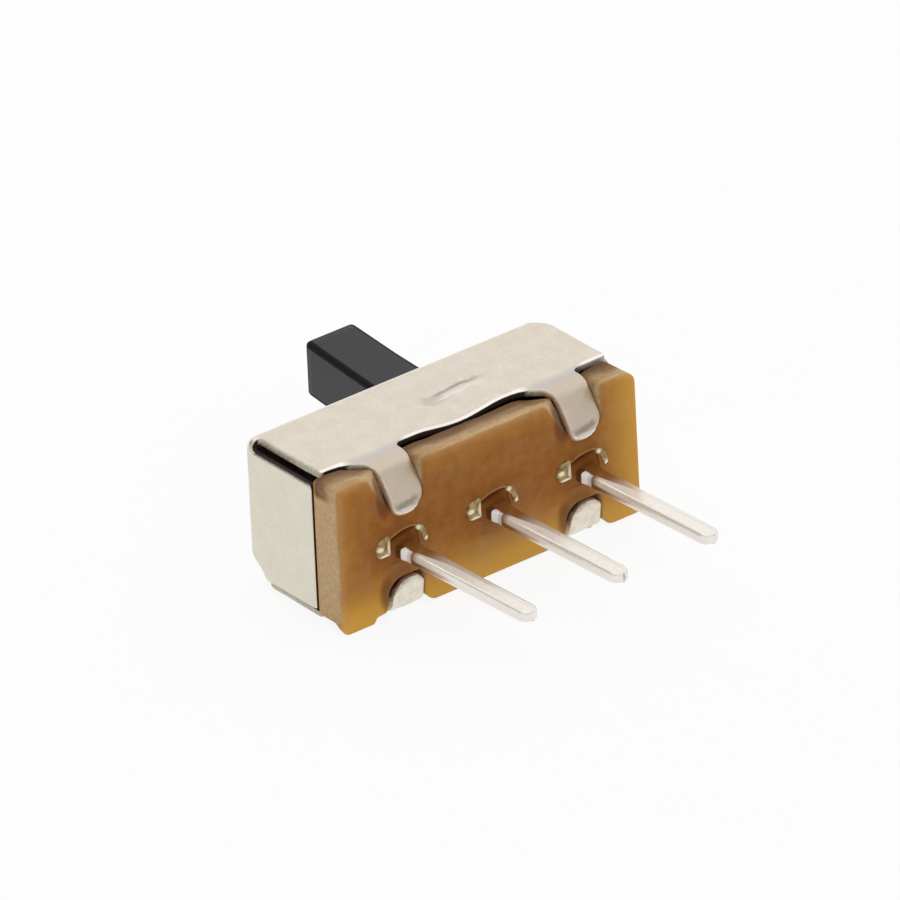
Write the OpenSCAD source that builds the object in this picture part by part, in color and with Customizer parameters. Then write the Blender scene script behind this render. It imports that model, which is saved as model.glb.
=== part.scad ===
// Three-pin slide switch, lying on one long side of its folded cover.
// +X runs along the row of pins, -Y is the way the pins point and +Z is up.
// The origin is the centre of the board's outer face, where the pins leave.
// Lengths are in millimetres. The knob stands at the +X end of its travel.

/* [Cover] */
// Length of the cover over its two end flaps
cover_l = 8.5; // [8:0.1:10.2]
// Width of the cover over its two long sides
cover_w = 3.6; // [3.2:0.1:4.4]
// Height of the actuator face above the board's outer face
cover_h = 3.5; // [3.1:0.1:4.3]
// Thickness of the folded sheet
sheet_t = 0.2; // [0.16:0.01:0.24]
// Outer radius of the folds
fold_r = 0.4; // [0.32:0.02:0.5]
// Radius of the rear corners of the two long sides
side_corner_r = 0.2; // [0.1:0.02:0.4]
// Gap between an end flap's edges and the insides of the long sides
flap_side_gap = 0.05; // [0.02:0.01:0.2]
// Gap between an end flap's end and the board
flap_end_gap = 0.25; // [0.02:0.01:0.4]

/* [Tabs] */
// Distance between the two tabs of one long side, centre to centre
tab_pitch = 5; // [4:0.1:5.8]
// Width of each tab
tab_w = 0.96; // [0.8:0.02:1.2]
// Outer radius of the turn that a tab makes over the board
tab_turn_r = 0.66; // [0.54:0.02:0.8]
// Distance from the cover's outside to the tip of a tab
tab_reach = 1.02; // [0.86:0.02:1.16]
// Radius of the corners at a tab's tip
tab_tip_r = 0.3; // [0.2:0.02:0.36]
// Radius of the fillets at a tab's root
tab_root_r = 0.24; // [0.14:0.02:0.3]
// Gap between the board and the sides of a tab's root
notch_gap = 0.03; // [0.01:0.01:0.08]

/* [Board] */
// Distance from each end of the cover in to the end of the board
board_inset = 0.02; // [0:0.01:0.3]
// Thickness of the board
board_t = 0.9; // [0.8:0.02:1.1]
// Radius of the board's corners
board_corner_r = 0.12; // [0.08:0.01:0.16]
// Depth of the staked recess beside each terminal
recess_d = 0.14; // [0.1:0.01:0.18]
// Height of the staked recess above the middle of its terminal
recess_h = 0.49; // [0.4:0.01:0.6]

/* [Terminals] */
// Distance between neighbouring terminals, centre to centre
pitch = 2.54; // [2.2:0.01:3]
// Width of a pin along the row
pin_w = 0.5; // [0.4:0.02:0.6]
// Thickness of a terminal
pin_t = 0.3; // [0.24:0.01:0.36]
// Length of a pin beyond the board
pin_l = 4.25; // [3:0.05:5.2]
// Distance of the pin row below the switch's middle plane
pin_drop = 0.3; // [0.2:0.02:0.36]
// Width of a terminal where it passes through the board
root_w = 1.08; // [0.9:0.02:1.2]
// Gap around a terminal in its slot through the board
slot_gap = 0.01; // [0:0.01:0.03]
// Width of the blade inside the switch
blade_w = 1.5; // [1.24:0.02:1.8]
// Height of the blade above the board's inner face
blade_h = 1.2; // [1:0.05:1.44]
// Radius of the blade's two upper corners
blade_r = 0.3; // [0.2:0.02:0.4]
// Distance from the middle of a pin to the flat side of an ear
ear_flat_x = 0.37; // [0.32:0.01:0.42]
// Distance from the flat side of an ear to the centre of its round side
ear_depth = 0.14; // [0.1:0.01:0.16]
// Height of an ear's centre above the middle of its terminal
ear_z = 0.23; // [0.2:0.01:0.26]
// Radius of an ear's round side
ear_r = 0.22; // [0.2:0.01:0.26]
// How far an ear stands off the board
ear_h = 0.12; // [0.08:0.01:0.16]

/* [Slider] */
// Width of the knob where it leaves the cover, both ways
knob_w = 1.5; // [1.25:0.05:1.8]
// Width of the knob at its end, both ways
knob_tip_w = 1.38; // [1.15:0.01:1.65]
// Height of the knob above the cover
knob_h = 4; // [2:0.1:6]
// How far the knob travels
travel = 2; // [1.7:0.05:2.4]
// Running gap around the slider
run_gap = 0.05; // [0.04:0.01:0.08]
// Gap left between the knob and each end of its opening
stop_gap = 0.03; // [0.02:0.01:0.05]
// Gap left between the slider and the flap that it travels towards
end_gap = 0.25; // [0.1:0.05:0.5]
// Gap between the slider and the blades
blade_gap = 0.14; // [0.08:0.01:0.2]

/* [Contact clip] */
// Length of the clip along the row
clip_l = 3; // [2.6:0.1:3.6]
// Thickness of the clip's sheet
clip_t = 0.12; // [0.1:0.01:0.14]
// Width of the clip's back
clip_w = 1.1; // [0.94:0.02:1.3]
// Gap between the clip and the walls of its pocket
pocket_gap = 0.03; // [0.02:0.01:0.05]
// Gap between each of the clip's jaws and a blade
jaw_gap = 0.02; // [0.02:0.01:0.04]
// Height of the grip above the board's inner face
jaw_h = 0.5; // [0.4:0.02:0.6]
// Height of the jaws' spread ends above the board's inner face
jaw_end_h = 0.2; // [0.1:0.02:0.3]
// How far the jaws spread at their ends
jaw_spread = 0.14; // [0.1:0.01:0.18]

/* [Hidden] */
$fn = 48;

// what stretches past a surface, so that a cut or a join is a clean one
over = 0.1;

end_x = cover_l / 2;
side_z = cover_w / 2;
end_in_x = end_x - sheet_t;
side_in_z = side_z - sheet_t;
roof_y = cover_h - sheet_t;
fold_in_r = fold_r - sheet_t;

turn_in_r = tab_turn_r - sheet_t;
turn_z = side_z - tab_turn_r;
tip_z = side_z - tab_reach;
// a tab lies against the floor and the front edge of its notch
notch_d = tab_turn_r;
notch_w = tab_w + 2 * (tab_root_r + notch_gap);

blade_top_y = board_t + blade_h;

knob_x = travel / 2;
opening_l = knob_w + travel + 2 * stop_gap;
opening_w = knob_w + 2 * run_gap;
slider_l = 2 * (end_in_x - end_gap) - travel;
slider_w = 2 * (side_in_z - run_gap);
slider_y0 = board_t + run_gap;
slider_y1 = roof_y - run_gap;
slider_r = fold_in_r - run_gap;
tunnel_y = blade_top_y + blade_gap;
tunnel_w = pin_t + 2 * blade_gap;
pocket_y = tunnel_y + 2 * clip_t;
pocket_l = clip_l + 2 * pocket_gap;
pocket_w = clip_w + 2 * pocket_gap;

// Sweeps a profile drawn in Y and Z along X, centred.
module along_x(l)
    rotate([90, 0, 90]) linear_extrude(l, center = true) children();

// Sweeps a profile drawn in X and Z along Y, from y0 to y1.
module along_y(y0, y1)
    translate([0, y1, 0]) rotate([90, 0, 0])
        linear_extrude(y1 - y0) children();

// Rectangle with two opposite corners given.
module area(x0, y0, x1, y1)
    translate([x0, y0]) square([x1 - x0, y1 - y0]);

// Rectangle with four round corners, centred.
module round_rect(w, h, r) {
    square([w, h - 2 * r], center = true);
    square([w - 2 * r, h], center = true);
    for (x = [-1, 1], y = [-1, 1])
        translate([x * (w / 2 - r), y * (h / 2 - r)]) circle(r);
}

// Plate from x = -half to half and y0 to y1, with its corners at y1 rounded,
// or its whole end where r is half its width.
module arch(half, y0, y1, r) {
    area(-half, y0, half, y1 - r);
    if (r < half) area(r - half, y0, half - r, y1);
    for (s = [-1, 1]) translate([s * (half - r), y1 - r]) circle(r);
}

// Section in X and Y of the sheet that makes the flaps and the face.
module flap_section()
    difference() {
        arch(end_x, board_t + flap_end_gap, cover_h, fold_r);
        arch(end_in_x, -over, roof_y, fold_in_r);
    }

// Section in Y and Z of the sheet that makes the long sides and the face.
module side_section()
    mirror([-1, 1]) difference() {
        arch(side_z, board_t, cover_h, fold_r);
        arch(side_in_z, -over, roof_y, fold_in_r);
    }

// Section of one tab in Y and Z: straight, round its turn, down the board.
module tab_section() {
    area(turn_in_r, side_in_z, board_t + over, side_z);
    area(-sheet_t, tip_z, 0, turn_z);
    intersection() {
        translate([turn_in_r, turn_z]) difference() {
            circle(tab_turn_r);
            circle(turn_in_r);
        }
        area(-sheet_t, turn_z, turn_in_r, side_z);
    }
}

// Fillets in X and Y at the root of one tab.
module tab_root() {
    root_x = tab_w / 2 + tab_root_r;
    for (m = [0, 1]) mirror([m, 0]) difference() {
        area(0, board_t - tab_root_r, root_x, board_t + over);
        translate([root_x, board_t - tab_root_r]) circle(tab_root_r);
    }
}

// One tab, with round corners at its tip.
module tab() {
    intersection() {
        along_x(tab_w) tab_section();
        along_y(-side_z, side_z) mirror([0, 1])
            arch(tab_w / 2, -2 * side_z, -tip_z, tab_tip_r);
    }
    translate([0, 0, side_in_z]) linear_extrude(sheet_t) tab_root();
}

// Cover: one sheet folded into the actuator face, two sides and two flaps.
module cover()
    color([0.84, 0.82, 0.78]) difference() {
        union() {
            along_x(cover_l - 2 * fold_r) side_section();
            linear_extrude(2 * (side_in_z - flap_side_gap), center = true)
                flap_section();
            for (m = [0, 1]) mirror([0, 0, m]) {
                translate([0, 0, side_in_z]) linear_extrude(sheet_t)
                    arch(end_in_x, board_t, cover_h - fold_r, side_corner_r);
                for (s = [-1, 1])
                    translate([s * tab_pitch / 2, 0, 0]) tab();
            }
        }
        translate([0, cover_h, 0])
            cube([opening_l, 4 * sheet_t, opening_w], center = true);
    }

// Board: punched laminate, with notches for the tabs and a slot and a
// shallow staked recess for each terminal.
module board()
    color([0.6, 0.4, 0.2]) difference() {
        along_y(0, board_t)
            round_rect(cover_l - 2 * board_inset, cover_w, board_corner_r);
        for (x = [-1, 1], z = [-1, 1])
            translate([x * tab_pitch / 2, board_t / 2, z * side_z])
                cube([notch_w, 2 * board_t, 2 * notch_d], center = true);
        for (i = [-1 : 1]) translate([i * pitch, 0, -pin_drop]) {
            translate([0, board_t / 2, 0])
                cube([root_w + 2 * slot_gap, 2 * board_t,
                      pin_t + 2 * slot_gap], center = true);
            along_y(-over, recess_d)
                area(-ear_flat_x, 0, ear_flat_x, recess_h);
        }
    }

// One staked ear: a round lug, flat on the side that faces the pin.
module ear()
    along_y(-ear_h, 0) intersection() {
        translate([ear_flat_x + ear_depth, ear_z]) circle(ear_r);
        area(ear_flat_x, ear_z - ear_r, ear_flat_x + 2 * ear_r,
             ear_z + ear_r);
    }

// One terminal: blade inside, root through the board, ears and pin. The
// root's end stands just proud of the board, where the ears join it.
module terminal() {
    root_end_y = -ear_h / 6;
    color([0.86, 0.85, 0.83]) translate([0, 0, -pin_drop]) {
        linear_extrude(pin_t, center = true) {
            mirror([0, 1]) arch(pin_w / 2, -board_t, pin_l, pin_w / 2);
            area(-root_w / 2, root_end_y, root_w / 2, board_t + over);
            arch(blade_w / 2, board_t, blade_top_y, blade_r);
        }
        for (m = [0, 1]) mirror([m, 0, 0]) ear();
    }
}

// Knob: straight through the cover, then tapered both ways to its end.
module knob() {
    taper_y = cover_h + over;
    end_y = cover_h + knob_h;
    half = knob_w / 2;
    tip = knob_tip_w / 2;
    along_y(roof_y - sheet_t, taper_y) square(knob_w, center = true);
    intersection() {
        linear_extrude(2 * knob_w, center = true)
            polygon([[-half, taper_y], [half, taper_y],
                     [tip, end_y], [-tip, end_y]]);
        along_x(2 * knob_w)
            polygon([[taper_y, -half], [taper_y, half],
                     [end_y, tip], [end_y, -tip]]);
    }
}

// Slider: the knob and the block that carries the clip over the blades.
module slider()
    color([0.17, 0.17, 0.18]) translate([knob_x, 0, 0]) {
        knob();
        difference() {
            translate([0, (slider_y0 + slider_y1) / 2, 0])
                along_x(slider_l)
                    round_rect(slider_y1 - slider_y0, slider_w, slider_r);
            translate([0, 0, -pin_drop]) {
                along_y(0, tunnel_y)
                    square([2 * slider_l, tunnel_w], center = true);
                along_y(0, pocket_y)
                    square([pocket_l, pocket_w], center = true);
            }
        }
    }

// Clip: a back under the pocket's roof and two jaws that grip the blades.
module contact_clip() {
    back_z = clip_w / 2;
    jaw_z = pin_t / 2 + jaw_gap;
    end_z = jaw_z + jaw_spread;
    grip_y = board_t + jaw_h;
    grip_end_y = grip_y - over;
    end_y = board_t + jaw_end_h;
    // one half of the section, down its outside and back up its inside
    half = [[pocket_y, back_z], [grip_y, jaw_z + clip_t],
            [grip_end_y, jaw_z + clip_t], [end_y, end_z + clip_t],
            [end_y, end_z], [grip_end_y, jaw_z], [grip_y, jaw_z],
            [pocket_y - clip_t, back_z - 1.4 * clip_t]];
    other = [for (i = [len(half) - 1 : -1 : 0]) [half[i][0], -half[i][1]]];
    color([0.78, 0.6, 0.32]) translate([knob_x, 0, -pin_drop])
        along_x(clip_l) polygon(concat(half, other));
}

cover();
board();
translate([-pitch, 0, 0]) terminal();  // terminal_left
terminal();  // terminal_common
translate([pitch, 0, 0]) terminal();  // terminal_right
slider();
contact_clip();
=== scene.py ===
import math

import bmesh
import bpy
from mathutils import Matrix, Vector, noise


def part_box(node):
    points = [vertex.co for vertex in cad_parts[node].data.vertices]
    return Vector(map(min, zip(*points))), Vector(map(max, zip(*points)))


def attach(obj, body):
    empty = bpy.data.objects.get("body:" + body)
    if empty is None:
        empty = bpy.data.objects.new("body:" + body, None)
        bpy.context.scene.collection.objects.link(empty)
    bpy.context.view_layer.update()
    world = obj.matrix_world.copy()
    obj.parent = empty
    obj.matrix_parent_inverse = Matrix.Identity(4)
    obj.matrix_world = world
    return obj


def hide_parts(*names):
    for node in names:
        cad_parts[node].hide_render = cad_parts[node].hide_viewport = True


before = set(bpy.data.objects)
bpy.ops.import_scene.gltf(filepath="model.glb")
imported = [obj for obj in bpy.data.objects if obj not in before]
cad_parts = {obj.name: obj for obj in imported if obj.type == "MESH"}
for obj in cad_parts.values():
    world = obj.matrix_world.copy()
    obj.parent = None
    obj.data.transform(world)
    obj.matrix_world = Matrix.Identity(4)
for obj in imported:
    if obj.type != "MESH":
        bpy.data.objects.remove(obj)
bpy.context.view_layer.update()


# --- Cover -----------------------------------------------------------------
# One blank of tin-plated steel sheet, folded down on its four sides into a
# box. Two tabs on each long side are bent over the board and staked there,
# which is all that holds the switch together.

MM = 0.001


class Signal:
    """A value or a colour on its way through a set of shader nodes."""

    def __init__(self, look, socket):
        self.look = look
        self.socket = socket

    def math(self, operation, *values):
        inputs = dict(enumerate(values))
        return self.look.node("ShaderNodeMath", {"operation": operation}, inputs)

    def __add__(self, other):
        return self.math("ADD", self, other)

    def __sub__(self, other):
        return self.math("SUBTRACT", self, other)

    def __rsub__(self, other):
        return self.math("SUBTRACT", other, self)

    def __mul__(self, other):
        return self.math("MULTIPLY", self, other)

    def __neg__(self):
        return self.math("MULTIPLY", self, -1.0)

    def __abs__(self):
        return self.math("ABSOLUTE", self)

    def most(self, other):
        return self.math("MAXIMUM", self, other)

    def least(self, other):
        return self.math("MINIMUM", self, other)

    __radd__ = __add__
    __rmul__ = __mul__


class Look:
    """Shader nodes of one material, or of the world, built step by step."""

    def __init__(self, owner):
        owner.use_nodes = True
        self.owner = owner
        self.nodes = owner.node_tree.nodes
        self.links = owner.node_tree.links

    def feed(self, socket, value):
        if isinstance(value, Signal):
            self.links.new(value.socket, socket)
        else:
            socket.default_value = value

    def node(self, kind, settings=None, inputs=None, output=0):
        made = self.nodes.new(kind)
        for name, value in (settings or {}).items():
            setattr(made, name, value)
        for name, value in (inputs or {}).items():
            self.feed(made.inputs[name], value)
        return Signal(self, made.outputs[output])

    def place(self, stretch=(1, 1, 1)):
        """Object coordinates in millimetres, squeezed along some axes."""
        here = self.node("ShaderNodeTexCoord", output="Object")
        scale = [part / MM for part in stretch]
        return self.node("ShaderNodeMapping", None, {"Vector": here, "Scale": scale})

    def axes(self, vector=None):
        """The three parts of a vector, or of the place in millimetres."""
        vector = vector or self.place()
        split = self.node("ShaderNodeSeparateXYZ", None, {"Vector": vector})
        return [Signal(self, out) for out in split.socket.node.outputs]

    def noise(self, scale, detail=2.0, stretch=(1, 1, 1), rough=0.5):
        inputs = {"Vector": self.place(stretch), "Scale": scale, "Detail": detail,
                  "Roughness": rough}
        return self.node("ShaderNodeTexNoise", None, inputs)

    def step(self, value, low, high, start=0.0, end=1.0):
        """Smooth step from start to end as the value goes from low to high."""
        inputs = {"Value": value, "From Min": low, "From Max": high,
                  "To Min": start, "To Max": end}
        return self.node("ShaderNodeMapRange", {"interpolation_type": "SMOOTHSTEP"}, inputs)

    def mix(self, share, first, second):
        """Colour between two colours."""
        inputs = {"Factor": share, 6: first, 7: second}
        return self.node("ShaderNodeMix", {"data_type": "RGBA"}, inputs, output=2)

    def bump(self, height, distance):
        """Surface normal for a height, whose full step is distance millimetres."""
        inputs = {"Height": height, "Strength": 1.0, "Distance": distance * MM}
        return self.node("ShaderNodeBump", None, inputs)

    def shade(self, **sockets):
        """Feed the surface shader's sockets, and hand back the material."""
        for name, value in sockets.items():
            self.feed(self.nodes["Principled BSDF"].inputs[name.replace("_", " ")], value)
        return self.owner


def new_look(name):
    return Look(bpy.data.materials.new(name))


def outline(bm, corners, upright=False):
    """Flat face through the corners, each with the reach of its rounding."""
    verts = [bm.verts.new((a, 0, b) if upright else (a, b, 0)) for a, b, _ in corners]
    bm.faces.new(verts)
    for vert, (_, _, reach) in zip(verts, corners):
        if reach:
            bmesh.ops.bevel(bm, geom=[vert], offset=reach, segments=6, profile=0.5,
                            affect="VERTICES", material=-1)


def thicken(bm, by):
    """Give the flat faces thickness, by a vector, with the normals outward."""
    made = bmesh.ops.extrude_face_region(bm, geom=bm.faces[:])
    moved = [part for part in made["geom"] if isinstance(part, bmesh.types.BMVert)]
    bmesh.ops.translate(bm, verts=moved, vec=by)
    bmesh.ops.recalc_face_normals(bm, faces=bm.faces)


def cut_across(bm, place, across, apart=1e-4):
    """Cut all the faces along a plane, and leave both sides in place."""
    parts = bm.verts[:] + bm.edges[:] + bm.faces[:]
    bmesh.ops.bisect_plane(bm, geom=parts, dist=apart, plane_co=place, plane_no=across)


def take_in(bm, other):
    """Move another shape into this one."""
    loose = bpy.data.meshes.new("loose")
    other.to_mesh(loose)
    other.free()
    bm.from_mesh(loose)
    bpy.data.meshes.remove(loose)


def piece_from(bm, name, *materials):
    """Object at the origin for a mesh that was drawn in millimetres."""
    bmesh.ops.scale(bm, verts=bm.verts, vec=(MM, MM, MM))
    mesh = bpy.data.meshes.new(name)
    bm.to_mesh(mesh)
    bm.free()
    mesh.shade_smooth()
    for material in materials:
        mesh.materials.append(material)
    piece = bpy.data.objects.new(name, mesh)
    bpy.context.collection.objects.link(piece)
    return piece


def modify(piece, kind, **settings):
    modifier = piece.modifiers.new(kind.title(), kind)
    for name, value in settings.items():
        setattr(modifier, name, value)


def smooth(value, low, high):
    """Smooth step from 0 to 1 as the value goes from low to high."""
    share = min(max((value - low) / (high - low), 0), 1)
    return share * share * (3 - 2 * share)


def over_fold(along, radius, turn=math.pi / 2):
    """How far on and how far in a strip gets that runs along over a fold."""
    bent = min(max(along, 0) / radius, turn)
    rest = max(along - radius * turn, 0)
    on = min(along, 0) + radius * math.sin(bent) + rest * math.cos(turn)
    return on, radius * (1 - math.cos(bent)) + rest * math.sin(turn)


low, high = [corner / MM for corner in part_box("cover")]
end_x, roof_y, side_z = high
sheet = 0.2
edge_round = 0.07
fold_r = 0.26
fold_arc = fold_r * math.pi / 2
face_x = end_x - fold_r
face_z = side_z - fold_r
wall_y = roof_y - fold_r
front_y = 1.01
flap_y = 1.08
flap_right_z = 1.5
flap_left_ends = ((1, 1.53), (-1, 1.63))
plate_x = 4.02
window_x, window_z = 1.78, 0.8
tab_places = (-2.52, 2.48)
tab_length = 1.71
coin_depth, coin_reach = 0.035, (0.1, 0.27)
dent_x, dent_reach, dent_deep = -0.1, 1.25, 0.122
crease_y, crease_deep, smudge_deep = 2.13, 0.022, 0.02
ripple, tab_ripple = 0.012, 0.03
corner_pull, plate_reach = 0.15, 0.15
# Each row of tabs turns at its own distance from the board's face, on its own
# radius and by its own angle.
upper_turn = (0.78, 0.5, math.radians(53))
lower_turn = (0.34, 0.3, math.radians(82))

# Places on the flat blank, measured from the middle of the roof.
front_q = face_z + fold_arc + wall_y - front_y
tip_q = front_q + tab_length
drawn_corner = Vector((-end_x, roof_y, -side_z))
flap_p = face_x + fold_arc + wall_y - flap_y
relief = fold_arc + 0.12


def tab_corners(middle, upper):
    """Outline of one tab on the blank, from right to left."""
    if upper:
        return [(middle + 0.57, front_q, 0.16), (middle + 0.57, tip_q, 0.6),
                (middle - 0.38, tip_q, 0.24), (middle - 0.39, front_q, 0.8)]
    tip = tip_q - 0.08
    return [(middle + 0.49, front_q, 0.3), (middle + 0.48, tip, 0.24),
            (middle - 0.4, tip, 0.46), (middle - 0.4, front_q, 0.16)]


def dent(x, y):
    """Depth of the shallow dent in the upper side, with the crease behind it."""
    across = max(1 - ((x - dent_x) / dent_reach) ** 2, 0) ** 2
    hollow = dent_deep * across * (1 - smooth(y, 0.9, 2.3))
    ends = smooth(x, -0.35, 0.25) * (1 - smooth(x, 1.0, 1.6))
    crease = crease_deep * ends * math.exp(-((y - crease_y) / 0.07) ** 2)
    smudge = smudge_deep * math.exp(-((x + 0.12) / 0.3) ** 2 - ((y - 2.0) / 0.16) ** 2)
    return hollow + crease + smudge


def fold(p, q):
    """Place on the folded sheet's outside of a point on the flat blank."""
    past_x, past_z = abs(p) - face_x, abs(q) - face_z
    if past_x > 0 and past_z > 0:
        past = math.hypot(past_x, past_z)
        on, down = over_fold(past, fold_r)
        on_x, on_z = on * past_x / past, on * past_z / past
        down_z = down * past_z / past
    else:
        on_x, down_x = over_fold(past_x, fold_r)
        on_z, down_z = over_fold(past_z, fold_r)
        down = down_x + down_z
    x = face_x + on_x
    y = roof_y - down
    z = face_z + on_z
    if p < 0 and q < 0:
        x += plate_reach * smooth(x, 3.5, plate_x) * smooth(past_z, fold_arc, fold_arc + 0.3)
    x = math.copysign(x, p)
    turn_y, radius, turn = upper_turn if q > 0 else lower_turn
    # The lower side ripples inwards only, so that it lies flat.
    wave = ripple * noise.noise(Vector((p, q, 0)) * 1.1) - (ripple if q < 0 else 0)
    if q < 0 and abs(q) > front_q + 0.6:
        wave += tab_ripple * noise.noise(Vector((p, q, 0)) * 3.5)
    z += wave * smooth(down_z, fold_r, 1.0)
    if q > 0 and down_z > fold_r:
        z -= dent(x, y)
    if y < turn_y:
        on, into = over_fold(turn_y - y, radius, turn)
        to_tip = tip_q - abs(q)
        pressed = coin_depth * (1 - smooth(to_tip, *coin_reach))
        y = turn_y - on + pressed * math.sin(turn)
        z -= into + pressed * math.cos(turn)
    place = Vector((x, y, math.copysign(z, q)))
    near = (place - drawn_corner).length
    return place + Vector((1, -1, 1)) * corner_pull * (1 - smooth(near, 0.1, 0.8))


def folded(p, q, depth):
    """Place in the folded sheet of a point at some depth in the flat blank."""
    apart = 1e-3
    here = fold(p, q)
    across, along = fold(p + apart, q) - here, fold(p, q + apart) - here
    return here + across.cross(along).normalized() * depth


# The corners of the roof are drawn round. On the left the slot between the flap and
# a side begins just past the corner, and the flap ends lower on the lower side. On
# the right a notch relieves each corner.
right_relief = [(face_x - 0.05, flap_right_z, 0.08), (face_x - 0.27, 1.52, 0.1),
                (face_x - 0.28, 1.84, 0.1), (plate_x, 2.15, 0.2)]

blank = bmesh.new()
for side, flap_left_z in flap_left_ends:
    left_relief = [(-plate_x, face_z + relief, 0.06), (-face_x - 0.33, face_z + 0.33, 0.1),
                   (-face_x - relief, flap_left_z, 0.06)]
    half = [(window_x, 0, 0), (flap_p, 0, 0), (flap_p, flap_right_z, 0.3), *right_relief,
            (plate_x, front_q, 0.1), *tab_corners(tab_places[1], side > 0),
            *tab_corners(tab_places[0], side > 0), (-plate_x, front_q, 0.1), *left_relief,
            (-flap_p, flap_left_z, 0.12), (-flap_p, 0, 0), (-window_x, 0, 0),
            (-window_x, window_z, 0.08), (window_x, window_z, 0.08)]
    outline(blank, [(p, side * q, reach) for p, q, reach in half])
bmesh.ops.remove_doubles(blank, verts=blank.verts, dist=1e-4)
bmesh.ops.recalc_face_normals(blank, faces=blank.faces)
thicken(blank, (0, 0, -sheet))
rims = [edge for edge in blank.edges if edge.calc_face_angle() > 1]
bmesh.ops.bevel(blank, geom=rims, offset=edge_round, segments=3, profile=0.5,
                affect="EDGES", material=-1)
for face in blank.faces:
    face.material_index = int(-0.98 < face.normal.z < 0.3)
cut = 0.08
bends = [fold_arc * part / 6 for part in range(7)]
lines_p = [step * cut for step in range(int(flap_p / cut) + 1)] + [face_x + on for on in bends]
lines_q = [step * cut for step in range(int(front_q / cut) + 1)] + [face_z + on for on in bends]
lines_q += [front_q + step * cut / 2 for step in range(int(tab_length / cut * 2) + 1)]
for lines, across in ((lines_p, Vector((1, 0, 0))), (lines_q, Vector((0, 1, 0)))):
    for line in {side * line for line in lines for side in (-1, 1)}:
        cut_across(blank, across * line, across, 1e-5)
flat_place = blank.verts.layers.float_vector.new("flat_place")
for vert in blank.verts:
    vert[flat_place] = vert.co
    vert.co = folded(vert.co.x, vert.co.y, -vert.co.z)
if blank.calc_volume(signed=True) < 0:
    bmesh.ops.reverse_faces(blank, faces=blank.faces)


def spot(look, at_x, at_y, wide, tall, across, along):
    """One in the middle of an oval spot, and nothing outside it."""
    off_x = (across - at_x) * (1 / wide)
    off_y = (along - at_y) * (1 / tall)
    return look.step(off_x * off_x + off_y * off_y, 0.1, 1.0, 1.0, 0.0)


tin = new_look("satin_tin_plate")
x, y, z = tin.axes()
p, q, _ = tin.axes(tin.node("ShaderNodeAttribute", {"attribute_name": "flat_place"},
                            output="Vector"))
beside_tab = p.math("WRAP", p + 2.5, 2.5, -2.5) + 0.02
from_root = abs(q) - front_q
mottle = tin.noise(2.2, 4.0)
specks = tin.noise(11.0, 3.0)
on_top = tin.step(z, 1.45, 1.6)
upper_tab = tin.step(from_root, 0.0, 0.22) * tin.step(z, 0.2, 0.4)
lower_tab = tin.step(from_root, 0.7, 0.9) * tin.step(z, -0.4, -0.2, 1.0, 0.0)
tone = tin.mix(tin.step(mottle, 0.35, 0.65), (0.73, 0.65, 0.55, 1), (0.77, 0.698, 0.6, 1))
tone = tin.mix(tin.step(specks, 0.55, 0.7) * 0.45, tone, (0.89, 0.85, 0.77, 1))
tone = tin.mix(tin.step(specks, 0.32, 0.42, 1.0, 0.0) * 0.12, tone, (0.6, 0.54, 0.46, 1))
# The end flaps are painted a greener grey, a painted reflection.
tone = tin.mix(tin.step(abs(x), 4.15, 4.22) * 0.35, tone, (0.68, 0.69, 0.56, 1))
# Painted shade: the upper tabs are painted darker and browner than the rest of the sheet.
tone = tin.mix(upper_tab * 0.8, tone, (0.62, 0.52, 0.41, 1))
# A painted reflection: a darker lavender band lies across each upper tab where it turns.
turning = tin.step(from_root, -0.12, 0.08) * tin.step(from_root, 0.2, 0.42, 1.0, 0.0)
turning = turning * tin.step(beside_tab, 0.9, 0.6) * tin.step(beside_tab, -1.0, -0.6) * on_top
tone = tin.mix(turning * 0.65, tone, (0.6, 0.545, 0.55, 1))
# The lower tabs are painted lighter and greener in patches, a painted reflection.
reflection_patches = tin.noise(4.5, 2.0)
tone = tin.mix(lower_tab * tin.step(reflection_patches, 0.4, 0.6) * 0.6, tone, (0.84, 0.83, 0.68, 1))
# Painted highlights run along the front edge and the back fold, and painted shade and a painted
# highlight lie across each tab's end.
# Painted highlight along the front edge and along the back fold.
edge_highlight = tin.step(from_root, -0.11, -0.03) * tin.step(abs(beside_tab), 0.7, 0.95) * on_top
fold_highlight = tin.step(y, 3.27, 3.34) * tin.step(z, 1.55, 1.62)
tone = tin.mix(edge_highlight.most(fold_highlight * 0.9), tone, (0.99, 0.95, 0.88, 1))
# Painted shade lies in the groove the tool pressed near each tab's end, and the rim past it gets a
# painted highlight.
band = from_root + beside_tab * 0.2 + (specks - 0.5) * 0.15
coin_shade = tin.step(abs(band - 1.5), 0.02, 0.1, 1.0, 0.0)
coin_shade = coin_shade * tin.step(abs(beside_tab), 0.2, 0.38, 1.0, 0.0)
tone = tin.mix(coin_shade * tin.step(z, 0.2, 0.3) * 0.65, tone, (0.3, 0.28, 0.21, 1))
coin_rim_highlight = tin.step(from_root, 1.56, 1.62) * tin.step(z, 0.2, 0.3)
tone = tin.mix(coin_rim_highlight * 0.6, tone, (0.97, 0.94, 0.86, 1))
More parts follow.
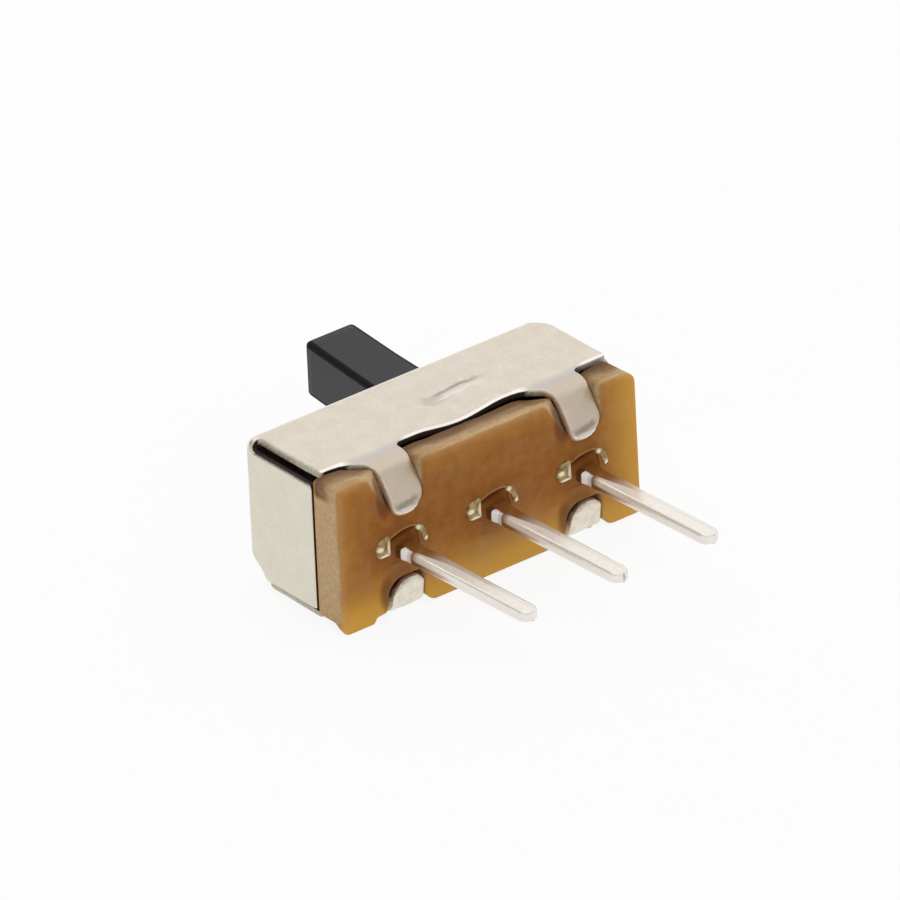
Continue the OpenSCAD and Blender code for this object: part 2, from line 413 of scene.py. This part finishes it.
# A crease and a smudge lie behind the dent. The crease gets a painted shade line with a painted
# highlight line next to it, and the smudge is painted darker.
ends = tin.step(x, -0.3, 0.2) * tin.step(x, 0.9, 1.6, 1.0, 0.0)
shaky = y + (mottle - 0.5) * 0.3
crease = tin.step(abs(shaky - crease_y), 0.01, 0.1, 1.0, 0.0) * ends
crease_highlight = tin.step(abs(shaky - crease_y + 0.22), 0.01, 0.1, 1.0, 0.0) * ends
smudge = spot(tin, -0.12, 2.0, 0.42, 0.24, x, shaky).most(
    spot(tin, -0.08, 1.83, 0.3, 0.07, x, shaky)) * 0.4
tone = tin.mix((crease * 0.95).most(smudge) * on_top, tone, (0.4, 0.36, 0.32, 1))
tone = tin.mix(crease_highlight * on_top * 0.4, tone, (0.95, 0.92, 0.86, 1))
grain = tin.noise(30.0, 3.0) * 0.4 + mottle + specks * 0.5
tin.shade(Metallic=1.0, Base_Color=tone,
          Roughness=tin.step(specks, 0.2, 0.8, 0.34, 0.46), Normal=tin.bump(grain, 0.01))

# The punch leaves the sheet's edges bare and dull. Painted shade makes them black along the gaps to
# the board and between the upper side and the left flap.
bare = new_look("sheared_steel_edge")
x, y, z = bare.axes()
by_board = bare.step(y, 0.88, 0.94) * bare.step(x, -3.98, -3.9) * bare.step(x, 3.1, 3.4, 1.0, 0.0)
gap_shade = by_board.most(bare.step(x, -4.04, -4.06))
tear = bare.noise(9.0, 3.0)
tone = bare.mix(bare.step(tear, 0.35, 0.65), (0.5, 0.46, 0.36, 1), (0.66, 0.62, 0.5, 1))
# Painted reflections: the cut edges are lavender grey at the right end, and brown like the board on
# the tabs nearer the board's face.
tone = bare.mix(bare.step(x, 3.1, 3.4), tone, (0.5, 0.47, 0.48, 1))
tone = bare.mix(bare.step(y, 0.6, 0.88, 1.0, 0.0), tone, (0.75, 0.56, 0.4, 1))
gap_shade = gap_shade * bare.step(z, -1.66, -1.62).most(bare.step(x, -3.95, -3.9))
# Painted shade: the cut edges turn black in the gaps.
tone = bare.mix(gap_shade, tone, (0.035, 0.022, 0.02, 1))
bare.shade(Metallic=bare.step(gap_shade, 0, 1, 0.6, 0.0), Base_Color=tone,
           Roughness=bare.step(tear, 0.2, 0.8, 0.4, 0.6), Normal=bare.bump(tear, 0.02),
           Specular_IOR_Level=0.2)

cover = piece_from(blank, "folded_cover", tin.owner, bare.owner)
modify(cover, "WEIGHTED_NORMAL", keep_sharp=True)
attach(cover, "switch_body")
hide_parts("cover")


# --- Board -----------------------------------------------------------------
# Punched from a sheet of brown phenolic laminate, so its faces are smooth and
# its edges torn and pale. The notches take the tabs of the cover, and each
# terminal comes out through a recess that the staking tool has room in.

low, high = [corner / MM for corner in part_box("board")]
board_left = low.x - 0.09
board_right = high.x - 0.16
board_y, board_z = high.y, high.z
pin_z = -0.3
pin_pitch = 2.54
pin_places = {node: sum(corner.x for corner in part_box(node)) / 2 / MM
              for node in ("terminal_left", "terminal_common", "terminal_right")}


def upper_notch(middle):
    """Corners of a notch for an upper tab, which slants in along its left side."""
    return [(middle - 0.96, board_z, 0.12), (middle - 0.79, 1.46, 0.1),
            (middle - 0.6, 1.17, 0.1), (middle - 0.4, 0.84, 0.1),
            (middle + 0.56, 0.84, 0.1), (middle + 0.6, board_z, 0.1)]


def lower_notch(middle):
    """Corners of a notch for a lower tab, which fits close and has a stepped mouth."""
    return [(middle + 0.7, -board_z, 0.1), (middle + 0.5, 0.2 - board_z, 0.08),
            (middle + 0.5, -0.9, 0.14), (middle - 0.5, -0.9, 0.4),
            (middle - 0.52, -1.45, 0.1), (middle - 0.56, 0.16 - board_z, 0.08),
            (middle - 0.86, 0.13 - board_z, 0.05), (middle - 0.92, -board_z, 0.08)]


def rim_edges(bm, axis, level):
    """Edges of a flat slab that lie in one of its two faces."""
    return [edge for edge in bm.edges
            if all(abs(vert.co[axis] - level) < 1e-5 for vert in edge.verts)]


laminate = bmesh.new()
outline(laminate, [(board_left, board_z, 0.1), *upper_notch(tab_places[0]),
                   *upper_notch(tab_places[1]), (board_right - 0.04, board_z, 0.27),
                   (board_right, -board_z, 0.16), *lower_notch(tab_places[1]),
                   *lower_notch(tab_places[0]), (board_left, -board_z, 0.2)], upright=True)
thicken(laminate, (0, board_y, 0))
bmesh.ops.bevel(laminate, geom=rim_edges(laminate, 1, board_y), offset=0.04, segments=2,
                profile=0.5, affect="EDGES", material=-1)
bmesh.ops.bevel(laminate, geom=rim_edges(laminate, 1, 0), offset=0.075, segments=4,
                profile=0.5, affect="EDGES", material=-1)
# The board gets lower towards its back, but for its left end. Its right upper corner
# rises and swells at the back, its left lower corner is worn off there, and its long
# edges are ragged. Behind the face, the upper notches' left walls lean in.
taper, corner_drop, corner_swell, corner_wear = 0.07, 0.07, 0.09, 0.13
ragged, ragged_step, wall_lean = 0.03, 0.3, 0.42
steps = int(-board_left / ragged_step)
for step in range(-steps, steps + 1):
    cut_across(laminate, (step * ragged_step, 0, 0), (1, 0, 0))
for level in (0.2, 0.35, 0.5, 0.7):
    cut_across(laminate, (0, level, 0), (0, 1, 0))
cut_across(laminate, (0, 0, 1.5), (0, 0, 1))
for vert in laminate.verts:
    x, y, z = vert.co
    depth = y / board_y
    vert.co.z *= 1 - taper * smooth(x, -3.2, -1.2) * depth
    vert.co.z -= corner_drop * smooth(x, 3.4, 3.7) * smooth(z, 1.0, 1.6) * (0.4 - depth)
    vert.co.y += corner_swell * smooth(x, 3.2, 3.4) * smooth(z, 1.5, 1.75) * smooth(y, 0.6, 0.86)
    vert.co.z += corner_wear * smooth(-x, 3.7, 4.1) * smooth(-z, 1.3, 1.6) * smooth(y, 0.12, 0.35)
    if abs(z) > 1.7:
        torn_off = 0.3 + noise.noise(Vector((x * 2.3, 0, z)))
        vert.co.z *= 1 - ragged * smooth(y, 0.1, 0.5) * torn_off
    for middle in tab_places:
        if z > 0.8 and middle - 1 < x < middle - 0.35:
            clear = 1 - smooth(z, 1.4, 1.65) * smooth(y, 0.5, 0.85)
            vert.co.x += wall_lean * smooth(y, 0.05, 0.5) * clear
front = [face for face in laminate.faces if face.calc_center_median().y < 1e-5]
bmesh.ops.delete(laminate, geom=front, context="FACES")

# A recess has a low lip round it and a floor that slants from its deep upper
# wall up to the board's face under the pin. Each step says the outline's size there
# and how much deeper it lies than the step before.
recess_steps = [(1.09, 0), (1.055, -0.015), (1.02, -0.015), (0.98, 0.02), (0.96, 0.05)]
for place in pin_places.values():
    recess = bmesh.new()
    outline(recess, [(-0.46, -0.17, 0.05), (-0.46, 0.44, 0.08), (-0.1, 0.58, 0.2),
                     (0.34, 0.56, 0.16), (0.42, -0.17, 0.05)], upright=True)
    ring = recess.edges[:]
    bmesh.ops.delete(recess, geom=recess.faces[:], context="FACES_ONLY")
    was = 1
    for size, depth in recess_steps:
        if was != 1:
            made = bmesh.ops.extrude_edge_only(recess, edges=ring)
            ring = [part for part in made["geom"] if isinstance(part, bmesh.types.BMEdge)]
        verts = list({vert for edge in ring for vert in edge.verts})
        bmesh.ops.scale(recess, verts=verts, vec=(size / was, 0, size / was))
        bmesh.ops.translate(recess, verts=verts, vec=(0, depth, 0))
        was = size
    for vert in recess.verts:
        if vert.co.y > 0:
            vert.co.y *= smooth(vert.co.z, -0.2, 0.5)
    bmesh.ops.contextual_create(recess, geom=ring)
    bmesh.ops.translate(recess, verts=recess.verts, vec=(place, 0, pin_z))
    take_in(laminate, recess)
bmesh.ops.triangle_fill(laminate, use_beauty=True, normal=(0, -1, 0),
                        edges=[edge for edge in laminate.edges if edge.is_boundary])
bmesh.ops.recalc_face_normals(laminate, faces=laminate.faces)

resin = new_look("phenolic_laminate")
x, y, z = resin.axes()
cloud = resin.noise(1.1, 3.0)
blotch = resin.noise(3.5, 3.0)
beside_pin = x.math("WRAP", x, pin_pitch / 2, -pin_pitch / 2)
# The resin is brown, and golden where the light comes through near its edges.
low_edge = resin.step(z + cloud * 0.4, -1.7, 0.05, 1.0, 0.0)
right_edge = resin.step(x + cloud * 0.4, 2.9, 4.4)
left_edge = resin.step(x - cloud * 0.4, -4.8, -3.6, 1.0, 0.0) * 0.36
top_edge = resin.step(z + cloud * 0.4, 1.25, 2.0) * 0.22
golden = low_edge.most(right_edge).most(left_edge).most(top_edge)
tone = resin.mix(resin.step(blotch, 0.3, 0.7), (0.31, 0.108, 0.018, 1), (0.362, 0.142, 0.028, 1))
tone = resin.mix(golden, tone, (0.67, 0.345, 0.054, 1))
tone = resin.mix(resin.step(z, -1.8, -0.9, 0.5, 0.0), tone, (0.86, 0.5, 0.075, 1))
# Painted shade darkens the board around each terminal.
around_pin = spot(resin, -0.15, pin_z + 0.2, 0.95, 0.85, beside_pin, z)
tone = resin.mix(around_pin * 0.25, tone, (0.13, 0.035, 0.005, 1))
# Its torn edges are pale and fibrous, with painted shade on them under the cover, and their paleness
# reaches a little way over the face.
outside = resin.step((abs(z) - 0.7).most(abs(x) - 3.5), 0.0, 0.1)
fibre = resin.noise(9.0, 4.0, rough=0.6)
strands = resin.noise(2.5, 3.0, stretch=(0.4, 1.5, 1.5))
pale = resin.mix(resin.step(fibre, 0.3, 0.7), (0.53, 0.355, 0.185, 1), (0.64, 0.455, 0.265, 1))
stripes = resin.step(strands, 0.45, 0.65) * resin.step(abs(z), 1.3, 1.5)
pale = resin.mix(stripes * 0.5, pale, (0.46, 0.27, 0.09, 1))
# Painted shade on the torn top edge, darkest under the cover's front edge.
under = resin.step(y + (strands - 0.5) * 0.4, 0.1, 0.85) * resin.step(z, 1.35, 1.5)
pale = resin.mix(under * 0.9, pale, (0.12, 0.05, 0.015, 1))
behind = resin.step(x, -4.3, -4.25, 1.0, 0.0) * resin.step(y, 0.78, 0.84)
pale = resin.mix(behind * 0.4, pale, (0.75, 0.34, 0.09, 1))
torn = resin.step(y + (cloud - 0.5) * 0.12, -0.02, 0.17) * outside
rim = (resin.step(z, 1.55, 1.82) * 0.25).most(resin.step(x, -4.12, -4.36, 0.0, 1.0) * 0.3)
rim = rim.most(resin.step(x, 3.98, 4.1) * 0.3).most(resin.step(z, -1.82, -1.72, 0.3, 0.0))
tone = resin.mix(torn.most(rim), tone, pale)
within = 1.0 - outside
upper_part = resin.step(z - pin_z - beside_pin * 0.2, 0.36, 0.5)
# A painted highlight lies on the raised lip above each recess.
lip = resin.step(y, -0.012, -0.002, 1.0, 0.0) * within * resin.step(z - pin_z, 0.1, 0.4)
tone = resin.mix(lip * 0.35, tone, (0.6, 0.42, 0.18, 1))
# Painted shade darkens each recess under its upper wall, the board next to each upper tab's left
# side, and the board over each lower tab.
painted_shade = resin.step(y, 0.005, 0.03) * within * upper_part
for middle in tab_places:
    beside_tab = spot(resin, middle - 0.56, 1.15, 0.28, 0.55, x, abs(z)) * 0.8
    over_tab = spot(resin, middle - 0.2, -0.95, 0.62, 0.42, x, z) * 0.55
    painted_shade = painted_shade.most(beside_tab).most(over_tab)
tone = resin.mix(painted_shade * 0.85, tone, (0.105, 0.022, 0.003, 1))
resin.shade(Base_Color=tone, Roughness=resin.step(torn, 0, 1, 0.42, 0.75),
            Normal=resin.bump(torn * fibre, 0.02), Specular_IOR_Level=0.12,
            Subsurface_Weight=0.12, Subsurface_Scale=0.3 * MM)

board = piece_from(laminate, "laminate_board", resin.owner)
modify(board, "WEIGHTED_NORMAL")
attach(board, "switch_body")
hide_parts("board")


# --- Terminals ---------------------------------------------------------------
# Three strips stamped from sheet and dipped in bright tin. Each has a pin with
# a full round tip, a blade inside the cover, and two lugs staked on the board.

pin_half, pin_thick = 0.235, 0.3
root_half, blade_half = 0.54, 0.75
pin_shift = 0.035
pin_longer, tip_thinner, root_lift = 0.06, 0.25, 0.06
lug_rise, lug_thick = {-1: 0.065, 1: 0.035}, 0.2
lean_x, lean_z = math.tan(math.radians(1.0)), math.tan(math.radians(1.5))

bright = new_look("bright_tin_dip")
drawn = bright.noise(3.0, 3.0, stretch=(1, 0.25, 1))
grit = bright.noise(16.0, 2.0, stretch=(1, 0.6, 1))
tone = bright.mix(drawn, (0.84, 0.79, 0.73, 1), (0.93, 0.89, 0.85, 1))
tone = bright.mix(bright.step(grit, 0.5, 0.65) * 0.2, tone, (0.84, 0.77, 0.66, 1))
x, y, z = bright.axes()
beside_pin = x.math("WRAP", x, pin_pitch / 2, -pin_pitch / 2)
rise = z - pin_z + y * lean_z
beside_middle = beside_pin + y * lean_x
from_board = -y
wider = bright.step(from_board, 0.4, 1.7, 0.03, 0.2)
# A painted highlight runs along the pin's upper left side, widening away from the board.
ridge = bright.step(rise, 0.0, 0.06) * bright.step(beside_middle - wider, -0.13, -0.08, 1.0, 0.0)
root_glint = (bright.step(from_board, 0.13, 0.16) * bright.step(from_board, 0.36, 0.44, 1.0, 0.0)
        * bright.step(beside_middle, -0.16, -0.1, 1.0, 0.0))
ridge = ridge * bright.step(from_board, 0.4, 0.7)
# Close to the board the pin is painted as brown as the board, a painted reflection of it, but for a
# painted highlight on its side at the root, which fades to lavender.
board_reflection = bright.step(from_board, 0.6, 1.8, 1.0, 0.0) * (1.0 - ridge.most(root_glint))
tone = bright.mix(ridge * bright.step(grit, 0.3, 0.5), tone, (0.98, 0.93, 0.84, 1))
tone = bright.mix(board_reflection, tone, (0.25, 0.1, 0.022, 1))
tone = bright.mix(root_glint, tone, (1.0, 0.99, 0.96, 1))
tone = bright.mix(root_glint * bright.step(from_board, 0.27, 0.36) * 0.4, tone, (0.5, 0.44, 0.5, 1))
shadow = (bright.step(from_board, 0.11, 0.15, 1.0, 0.0)
          * bright.step(beside_middle, -0.12, -0.06, 1.0, 0.0))
tone = bright.mix(shadow, tone, (0.13, 0.048, 0.01, 1))
metal = 0.62 - ridge * 0.3 - board_reflection * 0.6 - root_glint * 0.6
bright.shade(Metallic=metal.most(0.0), Base_Color=tone,
             Roughness=bright.step(drawn, 0.2, 0.8, 0.18, 0.28),
             Normal=bright.bump(bright.noise(5.0, 2.0) + grit * 0.15, 0.005))

gold = new_look("dull_staked_tin")
x, y, z = gold.axes()
fine = gold.noise(8.0, 3.0)
beside_pin = x.math("WRAP", x, pin_pitch / 2, -pin_pitch / 2)
rise = z - pin_z
# The lugs are dull gold with painted highlights in a few spots and strokes.
shine = None
for at_x, at_z, wide, tall in ((-0.48, 0.3, 0.09, 0.24), (-0.62, 0.12, 0.2, 0.07),
                               (-0.73, 0.33, 0.12, 0.08), (0.35, 0.49, 0.08, 0.07),
                               (0.56, 0.14, 0.06, 0.09)):
    stroke = spot(gold, at_x, at_z, wide, tall, beside_pin, rise)
    shine = stroke if shine is None else shine.most(stroke)
dull = gold.mix(gold.step(fine, 0.35, 0.65), (0.26, 0.16, 0.05, 1), (0.5, 0.38, 0.17, 1))
tone = gold.mix(shine, dull, (0.95, 0.86, 0.62, 1))
gold.shade(Metallic=0.4, Roughness=0.42, Base_Color=tone, Normal=gold.bump(fine, 0.012))

for node, middle in pin_places.items():
    tip_y, end_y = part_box(node)[0].y / MM - pin_longer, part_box(node)[1].y / MM
    strip = bmesh.new()
    half = [(pin_half, tip_y, pin_half), (pin_half, -0.29, 0.02), (pin_half + 0.06, -0.14, 0.02),
            (pin_half + 0.03, -0.04, 0), (0.34, 0.1, 0), (root_half, 0.2, 0),
            (root_half, board_y, 0), (blade_half, board_y, 0), (blade_half, end_y, 0.3)]
    outline(strip, half + [(-x, y, reach) for x, y, reach in reversed(half)])
    thicken(strip, (0, 0, pin_thick))
    bmesh.ops.translate(strip, verts=strip.verts, vec=(0, 0, -pin_thick / 2))
    rims = rim_edges(strip, 2, -pin_thick / 2) + rim_edges(strip, 2, pin_thick / 2)
    bmesh.ops.bevel(strip, geom=rims, offset=0.07, segments=3, profile=0.5,
                    affect="EDGES", material=-1)
    for vert in strip.verts:
        reach = max(-vert.co.y, 0)
        vert.co.x += reach * lean_x + pin_shift * smooth(-vert.co.y, -0.1, 0)
        if vert.co.z < 0:
            vert.co.z *= 1 - tip_thinner * smooth(reach, -tip_y - 0.7, -tip_y)
        lift = smooth(vert.co.y, -0.45, -0.2) * (1 - smooth(vert.co.y, 0.2, 0.5))
        vert.co.z += reach * lean_z + root_lift * lift
    for side in (-1, 1):
        lug = bmesh.new()
        if side < 0:
            shape = [(0.44, 0.09, 0.04), (0.82, 0.09, 0.14), (0.86, 0.32, 0.16),
                     (0.72, 0.56, 0.16), (0.45, 0.58, 0.06)]
        else:
            shape = [(0.29, 0.44, 0.04), (0.42, 0.35, 0.06), (0.5, 0.08, 0.05),
                     (0.62, 0.1, 0.05), (0.61, 0.36, 0.14), (0.46, 0.54, 0.1), (0.3, 0.57, 0.06)]
        outline(lug, [(side * x, z, reach) for x, z, reach in shape], upright=True)
        thicken(lug, (0, lug_thick, 0))
        bmesh.ops.translate(lug, verts=lug.verts, vec=(0, -lug_rise[side], 0))
        bmesh.ops.bevel(lug, geom=rim_edges(lug, 1, -lug_rise[side]), offset=0.045, segments=4,
                        profile=0.5, affect="EDGES", material=-1)
        for face in lug.faces:
            face.material_index = 1
        take_in(strip, lug)
    bmesh.ops.translate(strip, verts=strip.verts, vec=(middle, 0, pin_z))
    terminal = piece_from(strip, node + "_strip", bright.owner, gold.owner)
    modify(terminal, "WEIGHTED_NORMAL")
    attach(terminal, "switch_body")
    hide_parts(node)


# --- Slider ------------------------------------------------------------------
# Moulded in black plastic: a square knob on a block that runs inside the cover
# and carries the contact clip. The clip's push leaves the knob leaning a little.

faces, edges = new_look("black_moulding"), new_look("worn_black_edge")
for black, rough, gloss in ((faces, 0.3, 0.27), (edges, 0.45, 0.05)):
    fine = black.noise(18.0, 4.0)
    black.shade(Base_Color=black.mix(fine, (0.009, 0.008, 0.01, 1), (0.018, 0.016, 0.019, 1)),
                Roughness=black.step(fine, 0.2, 0.8, rough - 0.04, rough + 0.04),
                Normal=black.bump(fine, 0.005), Specular_IOR_Level=gloss)

moulding = bmesh.new()
moulding.from_mesh(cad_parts["slider"].data)
bmesh.ops.scale(moulding, verts=moulding.verts, vec=(1 / MM, 1 / MM, 1 / MM))
bmesh.ops.remove_doubles(moulding, verts=moulding.verts, dist=1e-3)
bmesh.ops.dissolve_limit(moulding, angle_limit=math.radians(3), verts=moulding.verts,
                         edges=moulding.edges)
knob_start, knob_end, knob_slimmer = 3.4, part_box("slider")[1].y / MM, 0.05
knob_round, sharp = 0.13, 0.6
knob_lean_x, knob_lean_z = math.tan(math.radians(3.5)), math.tan(math.radians(1.8))
# The block's sides have some draft and its front corners are cut off.
block_top, block_z, block_draft, block_corner = 3.25, 1.55, 0.1, 0.4
ends = [vert.co.x for vert in moulding.verts]
for end, out_x in ((min(ends), -1), (max(ends), 1)):
    for out_z in (-1, 1):
        place = Vector((end - out_x * block_corner, block_top, out_z * block_z))
        outward = Vector((out_x, 1, out_z))
        cut_across(moulding, place, outward, 1e-5)
        beyond = [vert for vert in moulding.verts if vert.co.y < block_top + 1e-4
                  and (vert.co - place).dot(outward) > 1e-4]
        bmesh.ops.delete(moulding, geom=beyond, context="VERTS")
        rim = [edge for edge in moulding.edges if edge.is_boundary]
        bmesh.ops.contextual_create(moulding, geom=rim)
bmesh.ops.recalc_face_normals(moulding, faces=moulding.faces)
for vert in moulding.verts:
    if vert.co.y < block_top and abs(vert.co.z) > 1.2:
        vert.co.z *= 1 - block_draft * (block_top - vert.co.y) / block_top
knob = [edge for edge in moulding.edges
        if max(vert.co.y for vert in edge.verts) > block_top + 0.1 and edge.calc_face_angle(0) > 0.5]
knob_x = sum(vert.co.x for edge in knob for vert in edge.verts) / len(knob) / 2
made = bmesh.ops.bevel(moulding, geom=knob, offset=knob_round, segments=4, profile=0.5,
                       affect="EDGES", material=-1)
for face in made["faces"]:
    face.material_index = 1
for vert in moulding.verts:
    reach = max(vert.co.y - knob_start, 0)
    if reach:
        slimmer = 1 - knob_slimmer * (1 - reach / (knob_end - knob_start))
        vert.co.x = knob_x + (vert.co.x - knob_x) * slimmer + reach * knob_lean_x
        vert.co.z = vert.co.z * slimmer + reach * knob_lean_z
for edge in moulding.edges:
    edge.smooth = edge.calc_face_angle(0) < sharp
slider = piece_from(moulding, "knob_and_slider", faces.owner, edges.owner)
modify(slider, "WEIGHTED_NORMAL", keep_sharp=True)
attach(slider, "knob")
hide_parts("slider")


# --- Contact clip --------------------------------------------------------------
# Bent from thin bronze spring strip. It sits in the slider's pocket and joins
# the middle blade to one of the outer two.

bronze = new_look("spring_bronze")
stain = bronze.noise(3.0, 4.0)
bronze.shade(Metallic=1.0, Roughness=bronze.step(stain, 0.2, 0.8, 0.3, 0.45),
             Base_Color=bronze.mix(stain, (0.52, 0.3, 0.1, 1), (0.68, 0.44, 0.19, 1)),
             Normal=bronze.bump(bronze.noise(20.0, 2.0, stretch=(0.2, 1, 1)), 0.004))
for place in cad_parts["contact_clip"].material_slots:
    place.material = bronze.owner


# --- Table, light and camera -----------------------------------------------------
# A white table top in a light tent. The tent is dimmer towards the camera and
# dark high up at the back on the left, and a long lens looks in from the front
# left and above.

def seen_ray(look):
    """One on the rays from the camera, a mirror or a glass, and nothing on the rest."""
    rays = look.node("ShaderNodeLightPath").socket.node.outputs
    names = ("Is Camera Ray", "Is Glossy Ray", "Is Transmission Ray")
    camera_ray, glossy, clear = (Signal(look, rays[name]) for name in names)
    return camera_ray + glossy + clear


table_r = 400
floor_shape = bmesh.new()
bmesh.ops.create_circle(floor_shape, cap_ends=True, segments=96, radius=table_r)
bmesh.ops.translate(floor_shape, verts=floor_shape.verts, vec=(0, 0, -side_z))
paper = new_look("white_table")
weave = paper.noise(0.6, 3.0)
paper.shade(Base_Color=paper.mix(weave, (0.95, 0.95, 0.95, 1), (0.98, 0.98, 0.98, 1)),
            Roughness=0.9, Specular_IOR_Level=0.0)
own_white = paper.node("ShaderNodeEmission", None, {"Color": (1, 1, 1, 1), "Strength": 1.0})
lit = Signal(paper, paper.nodes["Principled BSDF"].outputs[0])
both = paper.node("ShaderNodeMixShader", None,
                  {0: seen_ray(paper).least(1.0) * 0.88, 1: lit, 2: own_white})
paper.feed(paper.nodes["Material Output"].inputs["Surface"], both)
table = piece_from(floor_shape, "white_table_top", paper.owner)

world = bpy.data.worlds.new("light_tent")
bpy.context.scene.world = world
tent = Look(world)
to_right, to_back, to_top = tent.axes(tent.node("ShaderNodeTexCoord", output="Generated"))
front_level = tent.step(to_top, 0.0, 0.5, 0.4, 0.72) + tent.step(to_top, 0.56, 0.75) * 0.4
back_share = tent.step(to_back, -0.7, 0.3)
level = front_level + back_share * (1.0 - front_level)
dark_corner = (tent.step(to_right, -0.55, 0.2, 1.0, 0.0) * tent.step(to_top, 0.1, 0.4)
               * tent.step(to_back, -0.2, 0.2))
level = level * (1.0 - dark_corner)
rays = tent.node("ShaderNodeLightPath").socket.node.outputs
light = tent.node("ShaderNodeBackground", None, {"Color": (1, 1, 1, 1), "Strength": level})
white = tent.node("ShaderNodeBackground", None, {"Color": (1, 1, 1, 1), "Strength": 1.0})
both = tent.node("ShaderNodeMixShader", None,
                 {0: Signal(tent, rays["Is Camera Ray"]), 1: light, 2: white})
tent.feed(tent.nodes["World Output"].inputs["Surface"], both)

lamp_place = Vector((-60, 60, 190))
box = bpy.data.lights.new("overhead_box", "AREA")
box.size = 110 * MM
box.energy = 0.06
overhead = bpy.data.objects.new("overhead_box", box)
overhead.matrix_world = (Matrix.Translation(lamp_place * MM)
                         @ lamp_place.to_track_quat("Z", "Y").to_matrix().to_4x4())
bpy.context.collection.objects.link(overhead)

azimuth, elevation, roll = (math.radians(turn) for turn in (-37.39, 28.75, -2.52))
distance = 300
to_left, higher = 0.696, 0.948
target = Vector((0, 0.5, 0))
back = Vector((math.sin(azimuth) * math.cos(elevation),
               -math.cos(azimuth) * math.cos(elevation), math.sin(elevation)))
right = Vector((math.cos(azimuth), math.sin(azimuth), 0))
up = back.cross(right)
right, up = (right * math.cos(roll) + up * math.sin(roll),
             up * math.cos(roll) - right * math.sin(roll))
eye = target + back * distance - right * to_left + up * higher
long_lens = bpy.data.cameras.new("long_lens")
long_lens.sensor_width = 36
long_lens.lens = 546.4
long_lens.clip_start = 10 * MM
long_lens.clip_end = 5
camera = bpy.data.objects.new("camera", long_lens)
turned = Matrix((right, up, back)).transposed().to_4x4()
camera.matrix_world = Matrix.Translation(eye * MM) @ turned
bpy.context.collection.objects.link(camera)
bpy.context.scene.camera = camera
bpy.context.scene.view_settings.view_transform = "Standard"
